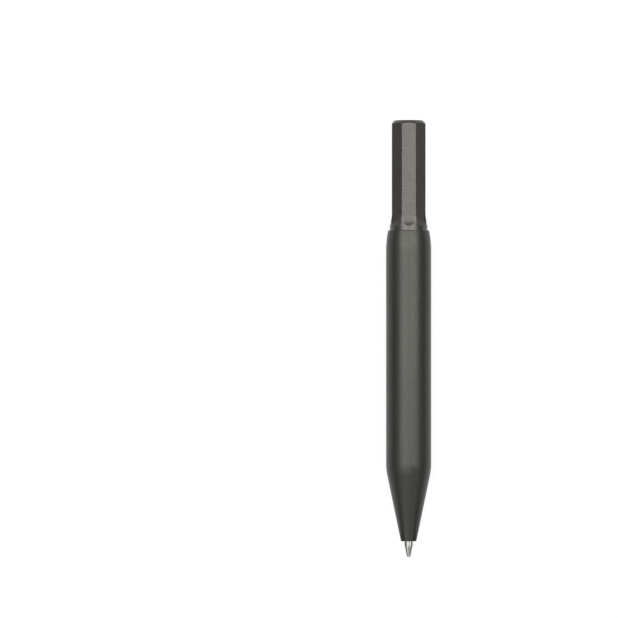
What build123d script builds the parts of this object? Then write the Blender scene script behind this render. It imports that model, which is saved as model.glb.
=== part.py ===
from build123d import *
import os
from math import atan2, cos, pi, sin, sqrt, tan

# Screw-action ballpoint pen in millimetres, lying on its side on z = 0.
# The pen's axis runs along Y, with the knob towards +Y and the point towards -Y.
# Each piece is drawn upright about Z, with z = 0 at the barrel's nose end, and is laid down last.
# The pose is the writing one: knob screwed home and point out.

# Refill: the common metal kind, with lengths counted from the end of the ball
refill_length = 98.1
refill_tube_diameter = 5.9
refill_tube_wall = 0.35
refill_neck_diameter = 3.9
refill_neck_start = 10.4
refill_shoulder_start = 18.7
refill_shoulder_taper = 0.5

# Notched plug in the rear of the refill
plug_head_length = 8.0
plug_spigot_length = 4.0
plug_recess_diameter = 3.2
plug_notch_depth = 1.4
plug_notch_width = 0.9
plug_notch_pairs = 3

# Point and ball
point_diameter = 2.5
point_cone_end = 3.25
point_step = 0.1
point_tip_diameter = 1.6
point_tip_end = 1.5
point_reach = 4.7
point_shank_length = 6.0
point_ink_bore = 1.2
point_feed_bore = 0.4
ball_diameter = 1.0
ball_reach = 0.35
ball_clearance = 0.03
lip_wall = 0.07

# Return spring on the refill's neck
spring_wire = 0.4
spring_wire_sides = 6
spring_turns = 7
spring_neck_clearance = 0.1
spring_bore_clearance = 0.15
spring_end_gap = 0.05

# Brass stem: a bored screw, with a polished band above the thread and a spigot in the knob
stem_bore_clearance = 0.15
stem_wall = 1.7
stem_overhang = 1.7
stem_end_chamfer = 0.5
undercut_width = 1.2
undercut_depth = 0.5
spigot_wall = 1.1
spigot_length = 5.0
band_step = 0.08

# Screw action: two turns of the knob draw the point in
thread_lead = 3.5
opening_turns = 2
thread_clearance = 0.05
stop_gap = 0.1

# Brass bush, pressed into the barrel, in which the thread runs
bush_wall = 0.65
bush_length = 13.0
bush_chamfer = 0.3

# Rubber friction ring in a groove of the band
ring_section = 0.9
ring_section_sides = 8
ring_bore_clearance = 0.05
ring_groove_clearance = 0.08
ring_cover = 0.6
groove_land = 1.0

# Knob: a round collar and eight milled flats that run out in scallops
flat_count = 8
flat_depth = 0.62
flats_length = 30.25
runout_radius = 7.6
knob_chamfer = 1.15
knob_top_round = 0.5
collar_length = 5.35
collar_depth = 4.0
collar_clearance = 0.07
bore_above_spigot = 3.15
thrust_gap = 0.05
edge_break = 0.15

# Barrel: one turned tube with a tapered nose
barrel_wall = 1.0
rim_wall = 0.43
rim_break = 0.1
shoulder_length = 5.6
nose_diameter = 4.45
nose_cone_length = 20.6
cone_blend_radius = 16.0
nose_hole_clearance = 0.1
neck_seat_clearance = 0.7
refill_bore_clearance = 0.25
shoulder_seat_clearance = 0.5
relief_clearance = 0.2
relief_end_clearance = 1.5

# How far a cutter runs past the surface that it cuts
overrun = 0.5

# Diameters, worked outwards from the refill
spring_mean_diameter = refill_neck_diameter + 2 * spring_neck_clearance + spring_wire
spring_bore = spring_mean_diameter + spring_wire + 2 * spring_bore_clearance
refill_bore = refill_tube_diameter + 2 * refill_bore_clearance
nose_hole = point_diameter + 2 * nose_hole_clearance
stem_bore = refill_tube_diameter + 2 * stem_bore_clearance
spigot_diameter = stem_bore + 2 * spigot_wall
thread_diameter = stem_bore + 2 * stem_wall
bush_bore = thread_diameter + 2 * thread_clearance
main_bore = bush_bore + 2 * bush_wall
relief_bore = thread_diameter + 2 * relief_clearance
collar_diameter = main_bore - 2 * collar_clearance
band_diameter = collar_diameter - 2 * band_step
barrel_diameter = main_bore + 2 * barrel_wall
mouth_diameter = main_bore + 2 * rim_wall

# Heights above the nose end, worked from the refill's two ends
neck_z = refill_neck_start - point_reach
shoulder_z = refill_shoulder_start - point_reach
refill_end_z = refill_length - point_reach
plug_z = refill_end_z - plug_head_length
spring_seat_z = neck_z - neck_seat_clearance
spring_bore_end_z = shoulder_z - shoulder_seat_clearance
knob_seat_z = refill_end_z + thrust_gap
spigot_end_z = knob_seat_z - bore_above_spigot
knob_z = spigot_end_z - spigot_length
flats_end_z = knob_z + collar_length
knob_end_z = flats_end_z + flats_length
barrel_length = knob_z + collar_depth
travel = opening_turns * thread_lead

# The band shows by the travel that is left once the collar is out of the barrel's mouth
groove_width = ring_section + 2 * ring_groove_clearance
groove_end_z = barrel_length - ring_cover - travel
groove_z = groove_end_z - groove_width
band_z = groove_z - groove_land
bush_end_z = band_z - stop_gap
bush_z = bush_end_z - bush_length
stem_z = bush_z - stem_overhang
relief_z = stem_z - relief_end_clearance

ring_diameter = main_bore - 2 * ring_bore_clearance
groove_diameter = ring_diameter - 2 * ring_section - 2 * ring_groove_clearance

axis_height = barrel_diameter / 2
mid_length = (knob_end_z - point_reach) / 2


def turn(*runs):
    """Solid turned about Z from a closed outline of (radius, height) lines and arcs."""
    edges = [edge for run in runs for edge in run.edges()]
    return revolve(Plane.XZ * make_face(edges), Axis.Z)


def turned_outline(*points):
    """Closed outline of straight runs between (radius, height) points."""
    return Polyline(*points, close=True)


def barrel():
    """Tapered tube whose bores step up from the nose hole to the mouth."""
    outer = barrel_diameter / 2
    nose = nose_diameter / 2
    mouth = mouth_diameter / 2
    bore = main_bore / 2
    slope = (outer - nose) / nose_cone_length
    angle = atan2(outer - nose, nose_cone_length)
    tangent_length = cone_blend_radius * tan(angle / 2)
    cone_end = (outer - tangent_length * sin(angle), nose_cone_length - tangent_length * cos(angle))
    cylinder_start = (outer, nose_cone_length + tangent_length)
    cylinder_end = (outer, barrel_length - shoulder_length)
    shoulder_end = (mouth, barrel_length - rim_break)
    nose_start = (nose_hole / 2, 0)
    cone = Polyline(nose_start, (nose - edge_break, 0), (nose + edge_break * slope, edge_break), cone_end)
    blend = TangentArc(cylinder_start, cone_end, tangent=(0, -1))
    side = Line(cylinder_start, cylinder_end)
    shoulder = TangentArc(cylinder_end, shoulder_end, tangent=(0, 1))
    bores = Polyline(
        shoulder_end,
        (mouth - rim_break, barrel_length),
        (bore + rim_break, barrel_length),
        (bore, barrel_length - rim_break),
        (bore, bush_z),
        (relief_bore / 2, bush_z),
        (relief_bore / 2, relief_z),
        (refill_bore / 2, relief_z),
        (refill_bore / 2, spring_bore_end_z),
        (spring_bore / 2, spring_bore_end_z),
        (spring_bore / 2, spring_seat_z),
        (nose_hole / 2, spring_seat_z),
        nose_start,
    )
    return turn(cone, blend, side, shoulder, bores)


def thread_bush():
    """Plain bush, chamfered in its bore at both ends."""
    outer = main_bore / 2
    bore = bush_bore / 2
    return turn(
        turned_outline(
            (bore + bush_chamfer, bush_z),
            (outer, bush_z),
            (outer, bush_end_z),
            (bore + bush_chamfer, bush_end_z),
            (bore, bush_end_z - bush_chamfer),
            (bore, bush_z + bush_chamfer),
        )
    )


def screw_stem():
    """Bored screw blank: thread, undercut, grooved band and the spigot that holds the knob."""
    bore = stem_bore / 2
    thread = thread_diameter / 2
    undercut = thread - undercut_depth
    band = band_diameter / 2
    groove = groove_diameter / 2
    return turn(
        turned_outline(
            (bore, stem_z),
            (thread - stem_end_chamfer, stem_z),
            (thread, stem_z + stem_end_chamfer),
            (thread, band_z - undercut_width),
            (undercut, band_z - undercut_width + undercut_depth),
            (undercut, band_z),
            (band, band_z),
            (band, groove_z),
            (groove, groove_z),
            (groove, groove_end_z),
            (band, groove_end_z),
            (band, knob_z),
            (spigot_diameter / 2, knob_z),
            (spigot_diameter / 2, spigot_end_z),
            (bore, spigot_end_z),
        )
    )


def friction_ring():
    """Ring in the band's groove, its section pressed flat against bore, groove and sides."""
    centre = ((ring_diameter - ring_section) / 2, (groove_z + groove_end_z) / 2)
    section = RegularPolygon(ring_section / 2, ring_section_sides, major_radius=False)
    return revolve(Plane.XZ * Pos(*centre) * Rot(0, 0, 180 / ring_section_sides) * section, Axis.Z)


def flat_cutter():
    """Block that mills one flat, with a round run-out at its lower end."""
    flat = collar_diameter / 2 - flat_depth
    reach = flat_depth + overrun
    outer = flat + reach
    runout_length = sqrt(flat_depth * (2 * runout_radius - flat_depth))
    runout_start_z = flats_end_z + runout_length
    arc_end = (outer, runout_start_z - sqrt(reach * (2 * runout_radius - reach)))
    cut_end_z = knob_end_z + overrun
    runout = TangentArc((flat, runout_start_z), arc_end, tangent=(0, -1))
    block = Polyline(arc_end, (outer, cut_end_z), (flat, cut_end_z), (flat, runout_start_z))
    face = Plane.XZ * make_face([*runout.edges(), *block.edges()])
    return extrude(face, amount=outer, both=True)


def knob():
    """Turned blank with a chamfered top and a stepped bore, then milled with flats."""
    collar = collar_diameter / 2
    corner = (collar - flat_depth) / cos(pi / flat_count)
    top = corner - knob_chamfer
    round_length = knob_top_round * tan(pi / 8)
    round_start = (top - round_length, knob_end_z)
    round_end = (top + round_length / sqrt(2), knob_end_z - round_length / sqrt(2))
    edge = TangentArc(round_start, round_end, tangent=(1, 0))
    body = Polyline(
        round_end,
        (collar, knob_end_z - collar + top),
        (collar, knob_z + edge_break),
        (collar - edge_break, knob_z),
        (spigot_diameter / 2, knob_z),
        (spigot_diameter / 2, spigot_end_z),
        (stem_bore / 2, spigot_end_z),
        (stem_bore / 2, knob_seat_z),
        (0, knob_seat_z),
        (0, knob_end_z),
        round_start,
    )
    blank = turn(edge, body)
    for place in PolarLocations(0, flat_count):
        blank -= place * flat_cutter()
    return blank


def refill_tube():
    """Thin tube, swaged in at the front to a neck."""
    outer = refill_tube_diameter / 2
    neck = refill_neck_diameter / 2
    taper_end_z = shoulder_z + refill_shoulder_taper
    return turn(
        turned_outline(
            (neck, neck_z),
            (neck, shoulder_z),
            (outer, taper_end_z),
            (outer, plug_z),
            (outer - refill_tube_wall, plug_z),
            (outer - refill_tube_wall, taper_end_z + refill_tube_wall),
            (neck - refill_tube_wall, shoulder_z + refill_tube_wall),
            (neck - refill_tube_wall, neck_z),
        )
    )


def refill_plug():
    """Plug with a spigot in the tube and a recessed, notched rear end."""
    head = refill_tube_diameter / 2
    spigot = head - refill_tube_wall
    recess = plug_recess_diameter / 2
    recess_z = refill_end_z - plug_notch_depth
    plug = turn(
        turned_outline(
            (0, plug_z - plug_spigot_length),
            (spigot, plug_z - plug_spigot_length),
            (spigot, plug_z),
            (head, plug_z),
            (head, refill_end_z - edge_break),
            (head - edge_break, refill_end_z),
            (recess, refill_end_z),
            (recess, recess_z),
            (0, recess_z),
        )
    )
    notch_height = plug_notch_depth + overrun
    notch = Box(refill_tube_diameter + overrun, plug_notch_width, notch_height)
    notch_z = recess_z + notch_height / 2
    for pair in range(plug_notch_pairs):
        plug -= Pos(0, 0, notch_z) * Rot(0, 0, pair * 180 / plug_notch_pairs) * notch
    return plug


def ball_place():
    """Centre of the ball, which ends the pen at the point."""
    return Pos(0, 0, ball_diameter / 2 - point_reach)


def refill_point():
    """Stepped cone and shank with a lipped socket for the ball and a stepped ink bore."""
    socket = ball_diameter / 2 + ball_clearance
    mouth_offset = ball_diameter / 2 - ball_reach
    lip = sqrt(socket**2 - mouth_offset**2) + lip_wall
    lip_z = ball_reach - point_reach
    shank = refill_neck_diameter / 2 - refill_tube_wall
    shank_end_z = neck_z + point_shank_length
    cone_end_z = point_cone_end - point_reach
    tip_end_z = point_tip_end - point_reach
    feed = point_feed_bore / 2
    ink = point_ink_bore / 2
    feed_start_z = ball_diameter / 2 - point_reach
    body = turn(
        turned_outline(
            (feed, feed_start_z),
            (feed, lip_z),
            (lip, lip_z),
            (point_tip_diameter / 2, tip_end_z),
            (point_diameter / 2 - point_step, cone_end_z),
            (point_diameter / 2, cone_end_z),
            (point_diameter / 2, neck_z),
            (shank, neck_z),
            (shank, shank_end_z),
            (ink, shank_end_z),
            (ink, cone_end_z),
            (feed, cone_end_z),
        )
    )
    return body - ball_place() * Sphere(socket)


def writing_ball():
    """Ball that rolls in the point's socket."""
    return ball_place() * Sphere(ball_diameter / 2)


def biarc(start, start_direction, end, end_direction):
    """Two arcs from start to end that meet smoothly and keep both end directions."""
    chord = end - start
    along = chord.dot(start_direction + end_direction)
    spread = 2 * (1 - start_direction.dot(end_direction))
    reach = (sqrt(along**2 + spread * chord.dot(chord)) - along) / spread
    middle = (start + end + (start_direction - end_direction) * reach) * 0.5
    first = TangentArc(start, middle, tangent=start_direction)
    second = Edge.make_tangent_arc(end, end_direction * -1, middle).reversed()
    return [first, second]


def spring_path():
    """Helix in quarter turns, from the seat in the nose up to the refill's shoulder."""
    radius = spring_mean_diameter / 2
    low_z = spring_seat_z + spring_wire / 2 + spring_end_gap
    high_z = shoulder_z - spring_wire / 2 - spring_end_gap
    quarters = 4 * spring_turns
    rise = (high_z - low_z) / quarters
    climb = rise / (pi / 2)
    edges = []
    for quarter in range(quarters):
        ends = []
        for step in (quarter, quarter + 1):
            angle = step * pi / 2
            place = Vector(radius * cos(angle), radius * sin(angle), low_z + rise * step)
            heading = Vector(-radius * sin(angle), radius * cos(angle), climb).normalized()
            ends += [place, heading]
        edges += biarc(*ends)
    return edges


def spring_gap(edges):
    """Least gap between the wire and itself, on points at least half a turn apart."""
    shares = (0, 0.25, 0.5, 0.75)
    points = [edge @ share for edge in edges for share in shares]
    half_turn = len(points) // (2 * spring_turns)
    distances = [
        (points[one] - points[two]).length
        for one in range(len(points))
        for two in range(one + half_turn, len(points))
    ]
    return min(distances) - spring_wire


def return_spring():
    """Open-ended wound spring, as one unbroken wire."""
    edges = spring_path()
    print(f"least gap between the spring's turns: {spring_gap(edges):.2f} mm")
    path = Wire(edges)
    section = Plane(origin=path @ 0, z_dir=path % 0) * RegularPolygon(spring_wire / 2, spring_wire_sides)
    return sweep(section, path=path)


def lay(piece):
    """Lay an upright piece on its side, with the middle of the pen's length over the origin."""
    return Pos(0, -mid_length, axis_height) * Rot(-90, 0, 0) * piece


pieces = {
    "barrel": barrel,
    "thread_bush": thread_bush,
    "screw_stem": screw_stem,
    "friction_ring": friction_ring,
    "knob": knob,
    "refill_tube": refill_tube,
    "refill_plug": refill_plug,
    "refill_point": refill_point,
    "writing_ball": writing_ball,
    "return_spring": return_spring,
}

os.makedirs("parts", exist_ok=True)
for name, make in pieces.items():
    export_step(lay(make()), f"parts/{name}.step")

print(f"barrel {barrel_diameter:.2f} across and {barrel_length:.2f} long, travel {travel:.2f}")
print(f"pen {knob_end_z + point_reach:.2f} long, mid length at {mid_length:.2f}")
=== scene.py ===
# %% [markdown]
# # A screw-action ballpoint pen
# A black anodised aluminium pen lies on a white table with its point out. It has a round barrel with a
# tapered nose, and an eight-sided knob. Two turns of the knob draw the point in and show a band of polished
# brass. The solids come from a CAD model and are loaded first. Then each piece that shows is made again
# with the small edges, curves and finishes that the solids leave out, and rides on the solid's body, so
# that it moves with it. Sizes are in millimetres, and MM turns them to Blender's metres.

# %% Load the solids
import math
import bmesh
import bpy
from mathutils import Matrix, Vector


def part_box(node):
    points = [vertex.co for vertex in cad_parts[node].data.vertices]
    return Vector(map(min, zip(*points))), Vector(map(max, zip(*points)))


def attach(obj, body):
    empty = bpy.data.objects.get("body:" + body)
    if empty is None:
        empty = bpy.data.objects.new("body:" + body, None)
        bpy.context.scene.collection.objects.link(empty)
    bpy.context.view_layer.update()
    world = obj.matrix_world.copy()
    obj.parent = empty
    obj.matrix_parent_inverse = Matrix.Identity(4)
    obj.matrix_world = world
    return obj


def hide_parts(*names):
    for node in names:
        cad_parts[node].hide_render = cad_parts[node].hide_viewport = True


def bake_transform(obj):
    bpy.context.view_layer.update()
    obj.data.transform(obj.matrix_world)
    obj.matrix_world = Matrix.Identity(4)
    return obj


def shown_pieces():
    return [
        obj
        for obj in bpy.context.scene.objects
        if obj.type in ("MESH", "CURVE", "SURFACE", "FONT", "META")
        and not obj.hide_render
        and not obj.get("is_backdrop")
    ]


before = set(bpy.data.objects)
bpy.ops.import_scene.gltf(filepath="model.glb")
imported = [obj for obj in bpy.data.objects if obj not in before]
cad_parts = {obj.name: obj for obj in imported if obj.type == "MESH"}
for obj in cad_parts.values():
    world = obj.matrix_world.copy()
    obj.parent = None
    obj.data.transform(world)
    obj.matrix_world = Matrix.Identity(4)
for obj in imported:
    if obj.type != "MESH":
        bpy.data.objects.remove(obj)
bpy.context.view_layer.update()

# %% [markdown]
# ## Camera
# The pen is seen straight from above, with the knob at the top of the picture. A new camera already looks
# down with +Y up in the picture, so it only has to be moved. It stands 1.8 m away on a long lens, which
# keeps the barrel's sides parallel and shows the knob's side flats almost equally wide, and it stands to
# the left of the pen, which leaves the pen in the right half of the picture.

# %% Camera
MM = 0.001
camera = bpy.data.objects.new("camera", bpy.data.cameras.new("camera"))
camera.location = (-28.62 * MM, 8.6 * MM, 1800 * MM)
camera.data.sensor_width = 36
camera.data.lens = 363.7
camera.data.clip_start = 0.01
bpy.context.scene.collection.objects.link(camera)
bpy.context.scene.camera = camera
bpy.context.scene.view_settings.view_transform = "Standard"
print("camera", round(math.degrees(camera.data.angle), 2), "degrees wide")

# %% [markdown]
# ## Colours and nodes
# Colours are written as the hex values that a colour picker shows, and Blender's shaders want linear light,
# so one function turns them over. Another makes an empty finish, and a third adds a node to it, gives the
# node its settings and joins its inputs.

# %% Colours and nodes
def linear(colour):
    """Linear RGBA of a hex colour such as #8A8A88."""
    shares = [int(colour[start : start + 2], 16) / 255 for start in (1, 3, 5)]
    return [s / 12.92 if s <= 0.04045 else ((s + 0.055) / 1.055) ** 2.4 for s in shares] + [1]


def add(tree, kind, inputs=None, **settings):
    """A new node; an input takes a number, a colour or another node's output."""
    made = tree.nodes.new(kind)
    for name, value in settings.items():
        setattr(made, name, value)
    for name, value in (inputs or {}).items():
        if isinstance(value, bpy.types.NodeSocket):
            tree.links.new(value, made.inputs[name])
        else:
            made.inputs[name].default_value = value
    return made


def new_finish(name):
    """An empty material, and the tree that takes its nodes."""
    finish = bpy.data.materials.new(name)
    finish.use_nodes = True
    finish.node_tree.nodes.clear()
    return finish, finish.node_tree


print("mid grey in linear light:", round(linear("#808080")[0], 3))

# %% [markdown]
# ## Light
# A round metal thing shows its surroundings more than itself, so what it mirrors is what has to be made.
# Two soft panels hang side by side over the knob's half of the pen, with a slit between them that the
# camera looks through. Weaker ones hang over the nose's half, so the barrel gets a little darker towards
# the nose. Over the point the right-hand one hangs further out, and the gap draws a dark line along the
# bright shank. Four windows light the pen from the corners of the room, and a small lamp near the tip draws
# a light streak on its cone. Area lamps make all of these, because their edges show in metal as real panels
# do, and the panels' spread is narrowed a little, as by a grid, so that they fade towards their far edges.

# %% Light
panel_height = 600
# name, from and to across the pen and along it in mm, power in watts for each square metre
panels = [
    ("knob_panel", -620, -30, -10, 405, 7.68),
    ("knob_panel", 30, 620, -10, 405, 7.68),
    ("nose_panel", -600, -10, -110, -10, 2.8),
    ("nose_panel", 10, 600, -60, -10, 2.8),
    ("point_panel", 380, 1000, -110, -60, 4.2),
    ("far_panel", -540, 140, -250, -110, 2.75),
]
for name, left, right, low, high, power in panels:
    panel = bpy.data.objects.new(name, bpy.data.lights.new(name, "AREA"))
    panel.data.shape = "RECTANGLE"
    panel.data.size, panel.data.size_y = (right - left) * MM, (high - low) * MM
    panel.data.energy = power * panel.data.size * panel.data.size_y
    panel.data.spread = math.radians(150)
    panel.location = Vector(((left + right) / 2, (low + high) / 2, panel_height)) * MM
    panel.visible_camera = False
    bpy.context.scene.collection.objects.link(panel)
# name, place and aim in mm, size in mm, power in watts
aimed_lamps = [
    ("window", (-560, 620, 550), (0, 0, 0), 400, 1),
    ("window", (560, 620, 550), (0, 0, 0), 400, 1),
    ("window", (-450, -750, 480), (0, 0, 0), 400, 1),
    ("window", (450, -750, 480), (0, 0, 0), 400, 1),
    ("tip_lamp", (-22.6, -74.6, 36.1), (0, -60, 6.5), 9, 0.0004),
]
for name, place, aim, size, power in aimed_lamps:
    lamp = bpy.data.objects.new(name, bpy.data.lights.new(name, "AREA"))
    lamp.data.size = size * MM
    lamp.data.energy = power
    lamp.location = Vector(place) * MM
    lamp.rotation_euler = (Vector(place) - Vector(aim)).to_track_quat("Z", "Y").to_euler()
    lamp.visible_camera = False
    bpy.context.scene.collection.objects.link(lamp)
print("light:", len(panels), "panels and", len(aimed_lamps), "aimed lamps")

# %% [markdown]
# ## Room
# The room round the pen is dim, and its ceiling is brighter than its walls. Below the horizon the white
# table goes on. A picture of a real room could be wrapped round the scene, but all that the pen mirrors of
# it is how bright it is at each height, so a colour ramp on the height is enough.

# %% Room
world = bpy.data.worlds.new("room")
bpy.context.scene.world = world
world.use_nodes = True
tree = world.node_tree
tree.nodes.clear()
outward = add(tree, "ShaderNodeTexCoord").outputs["Generated"]
direction = add(tree, "ShaderNodeSeparateXYZ", {"Vector": outward})
# Height on a ball round the pen, 0 at the horizon and 1 overhead, and the light that comes from there.
wall_levels = [(0.07, 0.05), (0.24, 0.6), (0.6, 0.68), (1, 0.72)]
walls = add(tree, "ShaderNodeValToRGB", {"Fac": direction.outputs["Z"]})
walls.color_ramp.elements.new(0.25)
walls.color_ramp.elements.new(0.6)
for stop, (height, level) in zip(walls.color_ramp.elements, wall_levels):
    stop.position = height
    stop.color = (level, level, level, 1)
far_table = add(tree, "ShaderNodeMapRange", {"Value": direction.outputs["Z"], "From Min": -0.002,
                "From Max": 0, "To Min": 1, "To Max": 0})
room = add(tree, "ShaderNodeMath", {0: walls.outputs["Color"], 1: far_table.outputs["Result"]},
           operation="MAXIMUM")
light = add(tree, "ShaderNodeBackground", {"Color": room.outputs[0], "Strength": 1})
add(tree, "ShaderNodeOutputWorld", {"Surface": light.outputs["Background"]})
print("room:", len(wall_levels), "levels of light")

# %% [markdown]
# ## Table
# The table is white and has no edge in the picture. A white sheet under soft light is not quite white, so
# camera rays, and rays from shiny or clear things, see a part of it as light of strength 1, which is white.
# The other part stays an ordinary matt white, so the pen still leaves its soft shadow there.

# %% Table
table_half, glow_share = 5000, 0.88
table_sheet = bmesh.new()
bmesh.ops.create_grid(table_sheet, x_segments=1, y_segments=1, size=table_half * MM)
table_mesh = bpy.data.meshes.new("table")
table_sheet.to_mesh(table_mesh)
table_sheet.free()
table = bpy.data.objects.new("table", table_mesh)
bpy.context.scene.collection.objects.link(table)
table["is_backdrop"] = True
white_card, tree = new_finish("white_card")
rays = add(tree, "ShaderNodeLightPath").outputs
shiny = add(tree, "ShaderNodeMath", {0: rays["Is Camera Ray"], 1: rays["Is Glossy Ray"]}, operation="MAXIMUM")
seen = add(tree, "ShaderNodeMath", {0: shiny.outputs[0], 1: rays["Is Transmission Ray"]}, operation="MAXIMUM")
share = add(tree, "ShaderNodeMath", {0: seen.outputs[0], 1: glow_share}, operation="MULTIPLY")
matt = add(tree, "ShaderNodeBsdfDiffuse", {"Color": linear("#F8F8F8")})
lit = add(tree, "ShaderNodeEmission", {"Strength": 1})
both = add(tree, "ShaderNodeMixShader",
           {0: share.outputs[0], 1: matt.outputs["BSDF"], 2: lit.outputs["Emission"]})
add(tree, "ShaderNodeOutputMaterial", {"Surface": both.outputs["Shader"]})
table_mesh.materials.append(white_card)
print("table", [round(d, 1) for d in table.dimensions], "m")

# %% [markdown]
# ## Cards beside the point
# Bright metal on a white table has no edge to see: its sides mirror the table and melt into it. A
# photographer stands small grey cards beside such a thing, and their reflections draw a dark rim. Two cards
# stand here, one on each side of the point. Only shiny rays see them, so they don't show in the picture and
# don't shade the table.

# %% Cards beside the point
grey_card, tree = new_finish("grey_card")
dull = add(tree, "ShaderNodeBsdfDiffuse", {"Color": linear("#8A8A8A")})
add(tree, "ShaderNodeOutputMaterial", {"Surface": dull.outputs["BSDF"]})
card_away, card_length, card_height = 9, 7.4, 8.6
point_middle, axis_height = -62.3, 6.5
upright = Matrix.Rotation(math.pi / 2, 4, "Y") @ Matrix.Diagonal((card_height * MM, card_length * MM, 1, 1))
for side in (-1, 1):
    card_sheet = bmesh.new()
    stand = Matrix.Translation(Vector((side * card_away, point_middle, axis_height)) * MM)
    bmesh.ops.create_grid(card_sheet, x_segments=1, y_segments=1, size=0.5, matrix=stand @ upright)
    card_mesh = bpy.data.meshes.new("card")
    card_sheet.to_mesh(card_mesh)
    card_sheet.free()
    card_mesh.materials.append(grey_card)
    card = bpy.data.objects.new("card", card_mesh)
    card.visible_camera = card.visible_diffuse = card.visible_transmission = card.visible_shadow = False
    bpy.context.scene.collection.objects.link(card)
    card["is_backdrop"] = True
print("cards", [round(d / MM, 1) for d in card.dimensions], "mm,", card_away, "mm from the axis")

# %% [markdown]
# ## Black anodised aluminium
# The barrel and knob are turned, blasted with fine glass beads and then anodised black. The beads leave a
# satin skin of tiny round pits, which spreads each reflection a little, and the dyed oxide darkens the
# metal to a warm dark grey that still shines like metal. A black paint under a clear coat would look like
# plastic, so the base is metallic and dark, and the bright rims at a glancing angle come by themselves. A
# noise for the pits bends the normals and varies the dye, and a slow one varies the satin.

# %% Black anodised aluminium
anodised = {}
# name: two tones of the dye, roughness from and to, depth of the pits in mm
for name, tones, satin_range, depth in [
    ("black_anodised_barrel", ("#3F403C", "#464743"), (0.34, 0.38), 0.003),
    ("black_anodised_knob", ("#4A4845", "#555350"), (0.26, 0.29), 0.003),
]:
    finish, tree = new_finish(name)
    place = add(tree, "ShaderNodeTexCoord").outputs["Object"]
    # The pits are about 0.05 mm across, too fine for the picture, so they are drawn 0.5 mm across.
    pits = add(tree, "ShaderNodeTexNoise",
               {"Vector": place, "Scale": 1 / (0.5 * MM), "Detail": 2, "Roughness": 0.6})
    skin = add(tree, "ShaderNodeBump", {"Height": pits.outputs["Fac"], "Distance": depth * MM, "Strength": 1})
    dye = add(tree, "ShaderNodeValToRGB", {"Fac": pits.outputs["Fac"]})
    dye.color_ramp.elements[0].position, dye.color_ramp.elements[0].color = 0.3, linear(tones[0])
    dye.color_ramp.elements[1].position, dye.color_ramp.elements[1].color = 0.7, linear(tones[1])
    # The blasting passes leave patches about 9 mm across that are a little smoother or rougher.
    patches = add(tree, "ShaderNodeTexNoise", {"Vector": place, "Scale": 1 / (9 * MM), "Detail": 3})
    satin = add(tree, "ShaderNodeMapRange", {"Value": patches.outputs["Fac"], "From Min": 0.3,
                "From Max": 0.7, "To Min": satin_range[0], "To Max": satin_range[1]})
    metal = add(tree, "ShaderNodeBsdfPrincipled", {"Base Color": dye.outputs["Color"], "Metallic": 1,
                "Roughness": satin.outputs["Result"], "Normal": skin.outputs["Normal"]})
    add(tree, "ShaderNodeOutputMaterial", {"Surface": metal.outputs["BSDF"]})
    anodised[name] = finish
print("black anodised aluminium:", ", ".join(anodised))

# %% [markdown]
# ## Polished brass
# The stem is turned from brass, and its band is polished. Brass keeps its yellow in every reflection, and
# the last cut of the lathe leaves rings that polishing doesn't quite take away. A wave texture would space
# the rings too evenly, so a noise that is squeezed along the pen draws them. The refill's metals have lines
# of the same kind, so a function makes the finish.

# %% Polished brass
def lined_metal(name, tones, satin_range, spacing, depth):
    """A bright metal with fine lines; their spacing (across X, along Y, across Z) and depth are in mm."""
    finish, tree = new_finish(name)
    place = add(tree, "ShaderNodeTexCoord").outputs["Object"]
    squeeze = [1 / (size * MM) for size in spacing]
    stretch = add(tree, "ShaderNodeMapping", {"Vector": place, "Scale": squeeze})
    lines = add(tree, "ShaderNodeTexNoise", {"Vector": stretch.outputs["Vector"], "Scale": 1, "Detail": 2})
    cut = add(tree, "ShaderNodeBump",
              {"Height": lines.outputs["Fac"], "Distance": depth * MM, "Strength": 0.4})
    sheen = add(tree, "ShaderNodeMapRange", {"Value": lines.outputs["Fac"], "From Min": 0.3, "From Max": 0.7,
                "To Min": satin_range[0], "To Max": satin_range[1]})
    tone = add(tree, "ShaderNodeValToRGB", {"Fac": lines.outputs["Fac"]})
    tone.color_ramp.elements[0].color = linear(tones[0])
    tone.color_ramp.elements[1].color = linear(tones[1])
    metal = add(tree, "ShaderNodeBsdfPrincipled", {"Base Color": tone.outputs["Color"], "Metallic": 1,
                "Roughness": sheen.outputs["Result"], "Normal": cut.outputs["Normal"]})
    add(tree, "ShaderNodeOutputMaterial", {"Surface": metal.outputs["BSDF"]})
    return finish


# Rings 0.15 mm apart go all the way round the stem: the noise changes fast along Y and slowly across it.
brass = lined_metal("polished_brass", ("#E7C986", "#EFD396"), (0.05, 0.09), (50, 0.15, 50), 0.001)
print("polished brass:", len(brass.node_tree.nodes), "nodes")

# %% [markdown]
# ## Bright metals of the refill
# The point is turned from nickel silver, a bright white alloy with a hint of yellow. The ball is lapped
# tungsten carbide, a darker grey. The refill's tube is drawn steel, with faint lines along it, and the
# return spring is drawn wire. They differ in colour, in roughness and in the way their lines run, so the
# brass's function makes all four from one short list.

# %% Bright metals of the refill
bright_metals = {}
# name: two tones, roughness from and to, spacing of the lines in mm across X, along Y and across Z
for name, tones, satin_range, spacing in [
    ("turned_nickel_silver", ("#AEABA4", "#B9B6B0"), (0.04, 0.08), (8, 0.08, 8)),
    ("lapped_tungsten_carbide", ("#B4B4B6", "#BEBEC0"), (0.08, 0.12), (0.1, 0.1, 0.1)),
    ("drawn_steel_tube", ("#CCCCCE", "#D6D6D8"), (0.2, 0.3), (0.12, 12, 0.12)),
    ("drawn_spring_wire", ("#BEBEC0", "#CACACC"), (0.2, 0.3), (0.3, 0.3, 0.3)),
]:
    bright_metals[name] = lined_metal(name, tones, satin_range, spacing, 0.0008)
print("bright metals:", ", ".join(bright_metals))

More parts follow.
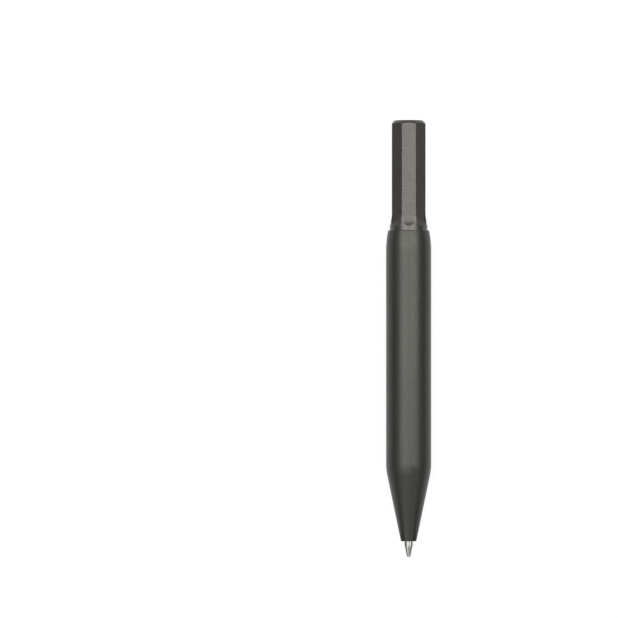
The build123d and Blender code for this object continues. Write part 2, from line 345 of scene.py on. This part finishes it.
# %% [markdown]
# ## Rubber and plastic
# The friction ring is moulded nitrile rubber, matt and nearly black. The plug in the refill's rear is
# moulded polypropylene, dark blue and a little waxy. Both have a fine moulded grain, which a noise of the
# grain's size gives to the bump, the sheen and the tone, so one loop makes both.

# %% Rubber and plastic
moulded = {}
# name: two tones, roughness from and to, refractive index, size of the grain in mm
for name, tones, satin_range, bends, grain_size in [
    ("moulded_nitrile_rubber", ("#1A1A1A", "#242424"), (0.6, 0.75), 1.52, 0.15),
    ("moulded_polypropylene", ("#28304C", "#303A5A"), (0.35, 0.45), 1.49, 0.3),
]:
    finish, tree = new_finish(name)
    place = add(tree, "ShaderNodeTexCoord").outputs["Object"]
    grain = add(tree, "ShaderNodeTexNoise", {"Vector": place, "Scale": 1 / (grain_size * MM), "Detail": 3})
    skin = add(tree, "ShaderNodeBump",
               {"Height": grain.outputs["Fac"], "Distance": 0.004 * MM, "Strength": 0.5})
    sheen = add(tree, "ShaderNodeMapRange", {"Value": grain.outputs["Fac"], "From Min": 0.3, "From Max": 0.7,
                "To Min": satin_range[0], "To Max": satin_range[1]})
    tone = add(tree, "ShaderNodeValToRGB", {"Fac": grain.outputs["Fac"]})
    tone.color_ramp.elements[0].color = linear(tones[0])
    tone.color_ramp.elements[1].color = linear(tones[1])
    body = add(tree, "ShaderNodeBsdfPrincipled", {"Base Color": tone.outputs["Color"], "IOR": bends,
               "Roughness": sheen.outputs["Result"], "Normal": skin.outputs["Normal"]})
    add(tree, "ShaderNodeOutputMaterial", {"Surface": body.outputs["BSDF"]})
    moulded[name] = finish
print("moulded:", ", ".join(moulded))

# %% [markdown]
# ## Turning
# Nearly all of this pen comes off a lathe, so nearly all of its pieces start as half an outline beside the
# axis: a few corners, each a radius and a height above the nose end in millimetres. Bevelling a corner of
# the outline rounds it. Smooth shading would then lean on the whole of a long face beside a small round, so
# each long line gets a holding point near both ends. A full spin about the axis turns the outline into the
# piece. Working in millimetres keeps the numbers easy to read, and the piece is moved into the solids'
# place and scaled to metres last.

# %% Turning
nose_corner, mouth_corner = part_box("barrel")
lay_down = Matrix.Translation((0, nose_corner.y, (nose_corner.z + mouth_corner.z) / 2)) @ Matrix.Scale(MM, 4)
AXIS, SHARP = (0, 1, 0), math.radians(32)


def outline(corners, rounds=(), hold=0.05):
    """Closed outline beside the axis; rounds are (corner number, reach of the round, segments)."""
    bm = bmesh.new()
    points = [bm.verts.new((radius, height, 0)) for radius, height in corners]
    for here, there in zip(points, points[1:] + points[:1]):
        bm.edges.new((here, there))
    for number, reach, segments in rounds:
        bmesh.ops.bevel(bm, geom=[points[number]], offset=reach, offset_type="OFFSET", segments=segments,
                        profile=0.5, affect="VERTICES", material=-1)
    for line in [edge for edge in bm.edges if edge.calc_length() > 8 * hold > 0]:
        low, high = line.verts
        length = line.calc_length()
        held = bmesh.utils.edge_split(line, low, hold / length)[1]
        rest = next(edge for edge in held.link_edges if high in edge.verts)
        bmesh.utils.edge_split(rest, high, hold / (length - hold))
    return bm


def turn(bm, steps):
    """Spin an outline once round the axis and close its seam and poles."""
    bmesh.ops.spin(bm, geom=bm.verts[:] + bm.edges[:], cent=(0, 0, 0), axis=AXIS, angle=math.tau, steps=steps,
                   use_merge=True)
    bmesh.ops.remove_doubles(bm, verts=bm.verts[:], dist=0.0005)
    bmesh.ops.recalc_face_normals(bm, faces=bm.faces[:])
    return bm


def make_piece(bm, name, finish, nodes):
    """Shade the mesh, lay it down in the solids' place and hide the solids that it stands for."""
    for face in bm.faces:
        face.smooth = True
    for edge in bm.edges:
        edge.smooth = edge.calc_face_angle(0) < SHARP
    bmesh.ops.transform(bm, matrix=lay_down, verts=bm.verts[:])
    mesh = bpy.data.meshes.new(name)
    bm.to_mesh(mesh)
    bm.free()
    mesh.materials.append(finish)
    piece = bpy.data.objects.new(name, mesh)
    bpy.context.scene.collection.objects.link(piece)
    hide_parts(*nodes)
    print(name, len(mesh.polygons), "faces,", [round(d / MM, 2) for d in piece.dimensions], "mm")
    return piece


print("nose end", round(nose_corner.y / MM, 2), "mm and axis", round(lay_down.translation.z / MM, 2), "mm up")

# %% [markdown]
# ## Barrel
# The barrel is one turned tube, 13 mm across. Its nose tapers to a small hole for the point and runs into
# the straight part over a long soft blend. At the other end a slow curve draws it in to a thin rim. Inside,
# the bore steps up from the point's hole to the spring, the refill, the stem and the bush. A Solidify
# modifier would give a wall of one thickness, so the bores are turned with the outside as one closed
# outline instead.

# %% Barrel
# radii
nose_hole, nose_radius, barrel_radius, mouth_radius = 1.35, 2.225, 6.5, 5.93
bore, relief_bore, refill_bore, spring_bore = 5.5, 5.0, 3.2, 2.6
# heights above the nose end
cone_end, shoulder_bend, barrel_end, rim_break = 20.6, 86.47, 89.3, 0.1
bush_low, relief_low, spring_bore_end, spring_seat = 66.54, 63.34, 13.5, 5.0
barrel_outline = outline(
    [(nose_hole, 0), (nose_radius, 0), (barrel_radius, cone_end), (barrel_radius, shoulder_bend),
     (mouth_radius, barrel_end - rim_break), (mouth_radius - rim_break, barrel_end), (bore, barrel_end),
     (bore, bush_low), (relief_bore, bush_low), (relief_bore, relief_low), (refill_bore, relief_low),
     (refill_bore, spring_bore_end), (spring_bore, spring_bore_end), (spring_bore, spring_seat),
     (nose_hole, spring_seat)],
    rounds=[(0, 0.08, 3), (1, 0.12, 4), (2, 1.642, 16), (3, 2.76, 20), (4, 0.06, 3), (5, 0.06, 3),
            (6, 0.1, 4)],
)
barrel = make_piece(turn(barrel_outline, 192), "barrel_tube", anodised["black_anodised_barrel"],
                    ["barrel"])
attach(barrel, "barrel")

# %% [markdown]
# ## The mill's cut
# A mill cuts eight flats down the knob's length. The cutter has rounded corners and leaves each flat in a
# round run-out, so the flat ends in a U-shaped scallop above the round collar. Eight booleans could cut
# this, but they leave thin, uneven faces. Here one function says how far from the axis the cutter leaves
# the metal, and another moves each point that sticks out past that in to it, which leaves a clean mesh.

# %% The mill's cut
collar, flat_reach, runout_radius, flats_end = 5.43, 4.81, 7.6, 90.55
flat_half = flat_reach * math.tan(math.pi / 8)
cutter_corner, corner_lag = 0.8, 0.5
runout_start = flats_end + math.sqrt((collar - flat_reach) * (2 * runout_radius - collar + flat_reach))
flat_angle = math.tau / 8
soft_edge = 0.06


def cutter_reach(height, angle):
    """How far from the axis the nearest cutter leaves the metal, at a height and an angle round the axis."""
    turned = (angle + flat_angle / 2) % flat_angle - flat_angle / 2
    beside = max(0, flat_reach * math.tan(abs(turned)) - flat_half + cutter_corner)
    run = max(0, runout_start + corner_lag * (beside / cutter_corner) ** 2 - height)
    if run >= runout_radius:
        return math.inf
    return (flat_reach + runout_radius - math.sqrt(runout_radius**2 - run**2)) / math.cos(turned)


def mill_flats(bm):
    """Move the blank's points in to the eight flats, with a small round where the flats end."""
    for point in bm.verts:
        reach = math.hypot(point.co.x, point.co.z)
        # The bore and the middle of the top stay as they are.
        if reach < flat_reach * 0.9:
            continue
        cut = cutter_reach(point.co.y, math.atan2(point.co.z, point.co.x))
        overlap = max(soft_edge - abs(cut - reach), 0)
        left = min(cut, reach) - overlap**2 / (4 * soft_edge)
        point.co.x *= left / reach
        point.co.z *= left / reach


print("flats end", flats_end, "mm above the nose end and are full from", round(runout_start, 2), "mm")

# %% [markdown]
# ## Knob
# The knob starts as a round blank with a chamfered top. It is turned with close rows of points where a cut
# will end, and then milled. The flats also cut through the chamfer, which gives each one a low arch at the
# top. The eight long edges between the flats are bevelled last, because a blasted edge is never quite
# sharp.

# %% Knob
# radii
top_radius, spigot, stem_bore = 4.056, 4.2, 3.1
# heights above the nose end
knob_foot, spigot_end, refill_seat, knob_top = 85.3, 90.3, 93.45, 120.9
# rows between which the cuts will end
chamfer_low, chamfer_high = knob_top - collar + top_radius, knob_top - 0.14
scallop_low, scallop_high = flats_end - 0.15, runout_start + 0.9
foot_hold, edge_round = 0.2, 0.07
blank = outline(
    [(0, knob_top), (top_radius, knob_top), (collar, chamfer_low), (collar, scallop_high),
     (collar, scallop_low), (collar, knob_foot + foot_hold), (collar, knob_foot), (spigot, knob_foot),
     (spigot, spigot_end), (stem_bore, spigot_end), (stem_bore, refill_seat), (0, refill_seat)],
    rounds=[(1, 0.207, 6), (6, 0.15, 4)], hold=0,
)
outer_side, near = 4.1, 0.01
for low, high, cuts in [(chamfer_low, chamfer_high, 40), (scallop_low, scallop_high, 84)]:
    between = [edge for edge in blank.edges
               if all(point.co.x > outer_side and low - near < point.co.y < high + near
                      for point in edge.verts)]
    bmesh.ops.subdivide_edges(blank, edges=between, cuts=cuts)
turn(blank, 384)
mill_flats(blank)
# An edge between two flats runs along the knob and bends by more than 20 degrees.
long_edges = [edge for edge in blank.edges if edge.calc_face_angle(0) > math.radians(20)
              and all(point.co.xz.length > flat_reach and runout_start < point.co.y < knob_top - 0.2
                      for point in edge.verts)
              and abs(edge.verts[0].co.y - edge.verts[1].co.y) > 0.9 * edge.calc_length()]
bmesh.ops.bevel(blank, geom=long_edges, offset=edge_round, offset_type="OFFSET", segments=2, profile=0.5,
                affect="EDGES", clamp_overlap=True, material=-1)
knob = make_piece(blank, "eight_sided_knob", anodised["black_anodised_knob"], ["knob"])
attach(knob, "knob")

# %% [markdown]
# ## Screw threads
# The stem carries a coarse thread with three starts, so that one turn moves it 3.5 mm, and the bush has the
# matching thread inside. Each start is a small trapezoid beside the axis. A Screw modifier could wind it,
# but a spin that climbs does the same on the mesh itself, and then two flat cuts can trim the ridges at the
# thread's ends. The ridges are wound apart from the piece, so that the cuts don't go through the rest of
# it.

# %% Screw threads
thread_lead, thread_starts, steps_a_turn = 3.5, 3, 48


def wind_thread(bm, low, high, root, crest, root_width, crest_width, phase):
    """Wind the ridges of all starts, trim and close their ends at two heights, and add them to a piece."""
    turns = math.ceil((high - low) / thread_lead) + 2
    steps = steps_a_turn * turns
    ridges = bmesh.new()
    for start in range(thread_starts):
        middle = low - thread_lead + (start + phase) * thread_lead / thread_starts
        trapezoid = [(root, -root_width / 2), (crest, -crest_width / 2),
                     (crest, crest_width / 2), (root, root_width / 2)]
        corners = [ridges.verts.new((radius, middle + half, 0)) for radius, half in trapezoid]
        ring = [ridges.edges.new(pair) for pair in zip(corners, corners[1:] + corners[:1])]
        # A spin about +Y that climbs along +Y winds a right-hand thread.
        bmesh.ops.spin(ridges, geom=corners + ring, cent=(0, 0, 0), axis=AXIS, angle=math.tau * turns,
                       steps=steps, dvec=(0, thread_lead * turns / steps, 0))
    for height, upward in [(low, -1), (high, 1)]:
        bmesh.ops.bisect_plane(ridges, geom=ridges.verts[:] + ridges.edges[:] + ridges.faces[:], dist=0.0001,
                               plane_co=(0, height, 0), plane_no=(0, upward, 0), clear_outer=True)
    bmesh.ops.holes_fill(ridges, edges=[edge for edge in ridges.edges if edge.is_boundary], sides=0)
    bmesh.ops.recalc_face_normals(ridges, faces=ridges.faces[:])
    wound = bpy.data.meshes.new("ridges")
    ridges.to_mesh(wound)
    ridges.free()
    bm.from_mesh(wound)
    bpy.data.meshes.remove(wound)


print("thread:", thread_starts, "starts,", thread_lead, "mm a turn")

# %% [markdown]
# ## Stem
# The stem is a bored brass screw. From the bottom it has the thread, an undercut where the thread tool runs
# out, the polished band with the friction ring's groove, and a spigot that is pressed into the knob. The
# plain parts are turned in one outline and the thread is wound on them, as it is cut on a blank.

# %% Stem
# radii
undercut, thread_root, thread_crest, groove, band = 4.3, 4.42, 4.8, 4.47, 5.35
# heights above the nose end
stem_foot, thread_end, band_low, groove_low, groove_high = 64.84, 78.44, 79.64, 80.64, 81.7
foot_taper, end_taper, lead_in = 0.46, 0.5, 0.1
# The roots of the ridges sink into the blank a little, so that no gap shows.
sunk = 0.04
stem_blank = turn(outline(
    [(stem_bore, stem_foot), (undercut, stem_foot), (thread_root, stem_foot + foot_taper),
     (thread_root, thread_end), (undercut, thread_end + end_taper), (undercut, band_low), (band, band_low),
     (band, groove_low), (groove, groove_low), (groove, groove_high), (band, groove_high), (band, knob_foot),
     (spigot, knob_foot), (spigot, spigot_end), (stem_bore, spigot_end)],
    rounds=[(6, 0.08, 3), (7, 0.05, 2), (10, 0.05, 2), (11, 0.05, 2)],
), 128)
wind_thread(stem_blank, stem_foot + lead_in, thread_end, root=thread_root - sunk, crest=thread_crest,
            root_width=0.62, crest_width=0.34, phase=0)
stem = make_piece(stem_blank, "brass_screw_stem", brass, ["screw_stem"])
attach(stem, "knob")

# %% [markdown]
# ## Bush
# The bush is the nut of the screw: a brass sleeve pressed into the barrel, with the thread inside. It is
# turned like the stem, and its thread's ridges point inwards and sit half a pitch off, in the stem's
# grooves.

# %% Bush
bush_bore, bush_crest, bush_high, bush_chamfer, thread_inset = 4.88, 4.55, 79.54, 0.27, 0.36
bush_blank = turn(outline(
    [(bush_bore + bush_chamfer, bush_low), (bore, bush_low), (bore, bush_high),
     (bush_bore + bush_chamfer, bush_high), (bush_bore, bush_high - bush_chamfer),
     (bush_bore, bush_low + bush_chamfer)],
), 128)
wind_thread(bush_blank, bush_low + thread_inset, bush_high - thread_inset, root=bush_bore + sunk,
            crest=bush_crest, root_width=0.6, crest_width=0.3, phase=0.5)
bush = make_piece(bush_blank, "brass_bush", brass, ["thread_bush"])
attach(bush, "barrel")

# %% [markdown]
# ## Friction ring
# A rubber ring in the stem's groove rubs along the bore, so that the knob doesn't rattle or unwind. Blender
# has a ready torus for the editor only, so here a small circle is spun round the axis.

# %% Friction ring
ring_half, ring_middle = 0.45, 5.0
ring_section = bmesh.new()
bmesh.ops.create_circle(ring_section, cap_ends=False, segments=24, radius=ring_half)
groove_middle = (groove_low + groove_high) / 2
bmesh.ops.translate(ring_section, verts=ring_section.verts[:], vec=(ring_middle, groove_middle, 0))
ring = make_piece(turn(ring_section, 96), "rubber_friction_ring", moulded["moulded_nitrile_rubber"],
                  ["friction_ring"])
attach(ring, "knob")

# %% [markdown]
# ## Point
# The point is turned from one rod: a straight shank that shows below the nose, a small step, a cone, and a
# blunt tip whose lip is rolled in over the ball. A plain cone with a hole in it would do from far off, but
# here one outline goes down the socket, up the outside and back down through the ink bore, so the lip has a
# real thickness.

# %% Point
# radii
ball_radius, socket, lip, feed_bore, ink_bore = 0.5, 0.53, 0.578, 0.2, 0.6
tip_radius, cone_radius, shank_radius, tail_radius = 0.8, 1.15, 1.25, 1.6
# heights above the nose end
lip_end, ball_centre, feed_end, tip_start, cone_start = -4.35, -4.2, -3.7, -3.2, -1.45
tail_low, tail_high = 5.7, 11.7
socket_corners = [(feed_bore, feed_end)]
socket_corners += [(socket * math.cos(angle), ball_centre + socket * math.sin(angle))
                   for angle in (math.pi / 4, math.pi / 8, 0)]
socket_corners += [(math.sqrt(socket**2 - (ball_centre - lip_end) ** 2), lip_end)]
point_outline = outline(
    socket_corners
    + [(lip, lip_end), (tip_radius, tip_start), (cone_radius, cone_start), (shank_radius, cone_start),
       (shank_radius, tail_low), (tail_radius, tail_low), (tail_radius, tail_high), (ink_bore, tail_high),
       (ink_bore, cone_start), (feed_bore, cone_start)],
    rounds=[(5, 0.04, 3), (6, 0.25, 6), (7, 0.03, 2), (8, 0.04, 3)],
)
point = make_piece(turn(point_outline, 96), "refill_point_body", bright_metals["turned_nickel_silver"],
                   ["refill_point"])
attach(point, "refill")

# %% [markdown]
# ## Ball
# A millimetre ball of carbide sits in the socket and carries the ink. An icosphere has even faces all over
# and no poles, which suits a ball that can roll any way.

# %% Ball
ball_mesh = bmesh.new()
bmesh.ops.create_icosphere(ball_mesh, subdivisions=4, radius=ball_radius)
bmesh.ops.translate(ball_mesh, verts=ball_mesh.verts[:], vec=(0, ball_centre, 0))
ball = make_piece(ball_mesh, "carbide_ball", bright_metals["lapped_tungsten_carbide"],
                  ["writing_ball"])
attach(ball, "ball")

# %% [markdown]
# ## Return spring
# The spring sits on the refill's neck and holds the refill back against the knob. A curve with a bevel
# could draw it, but it would have to be made a mesh. So a circle as thick as the wire is spun round the
# axis while it climbs: close at both ends, where the spring rests, and open between. Its lower end stays in
# the nose and its upper end goes with the refill, but here the mesh is baked where it stands and rides on
# neither body.

# %% Return spring
wire_radius, coil_radius, spring_low, spring_high = 0.2, 2.25, 5.25, 13.75
close_pitch, open_turns = 0.44, 5
open_pitch = (spring_high - spring_low - 2 * close_pitch) / open_turns
spring_wire = bmesh.new()
bmesh.ops.create_circle(spring_wire, cap_ends=False, segments=12, radius=wire_radius)
bmesh.ops.translate(spring_wire, verts=spring_wire.verts[:], vec=(coil_radius, spring_low, 0))
last = spring_wire.verts[:] + spring_wire.edges[:]
for turns, pitch in [(1, close_pitch), (open_turns, open_pitch), (1, close_pitch)]:
    steps = steps_a_turn * turns
    wound = bmesh.ops.spin(spring_wire, geom=last, cent=(0, 0, 0), axis=AXIS, angle=math.tau * turns,
                           steps=steps, dvec=(0, pitch * turns / steps, 0))
    last = wound["geom_last"]
bmesh.ops.holes_fill(spring_wire, edges=[edge for edge in spring_wire.edges if edge.is_boundary], sides=0)
bmesh.ops.recalc_face_normals(spring_wire, faces=spring_wire.faces[:])
spring = make_piece(spring_wire, "wound_return_spring", bright_metals["drawn_spring_wire"],
                    ["return_spring"])
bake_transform(spring)

# %% [markdown]
# ## Tube and plug of the refill
# The refill's tube and its notched plug never show outside the pen, and their solids already have the right
# shape, so they keep their meshes and only get their finishes.

# %% Tube and plug of the refill
kept_finishes = {"refill_tube": bright_metals["drawn_steel_tube"],
                 "refill_plug": moulded["moulded_polypropylene"]}
for node, finish in kept_finishes.items():
    kept = next(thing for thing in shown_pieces() if thing.name == node)
    for kept_slot in kept.material_slots:
        kept_slot.material = finish
    print(node, "keeps its mesh, in", finish.name)
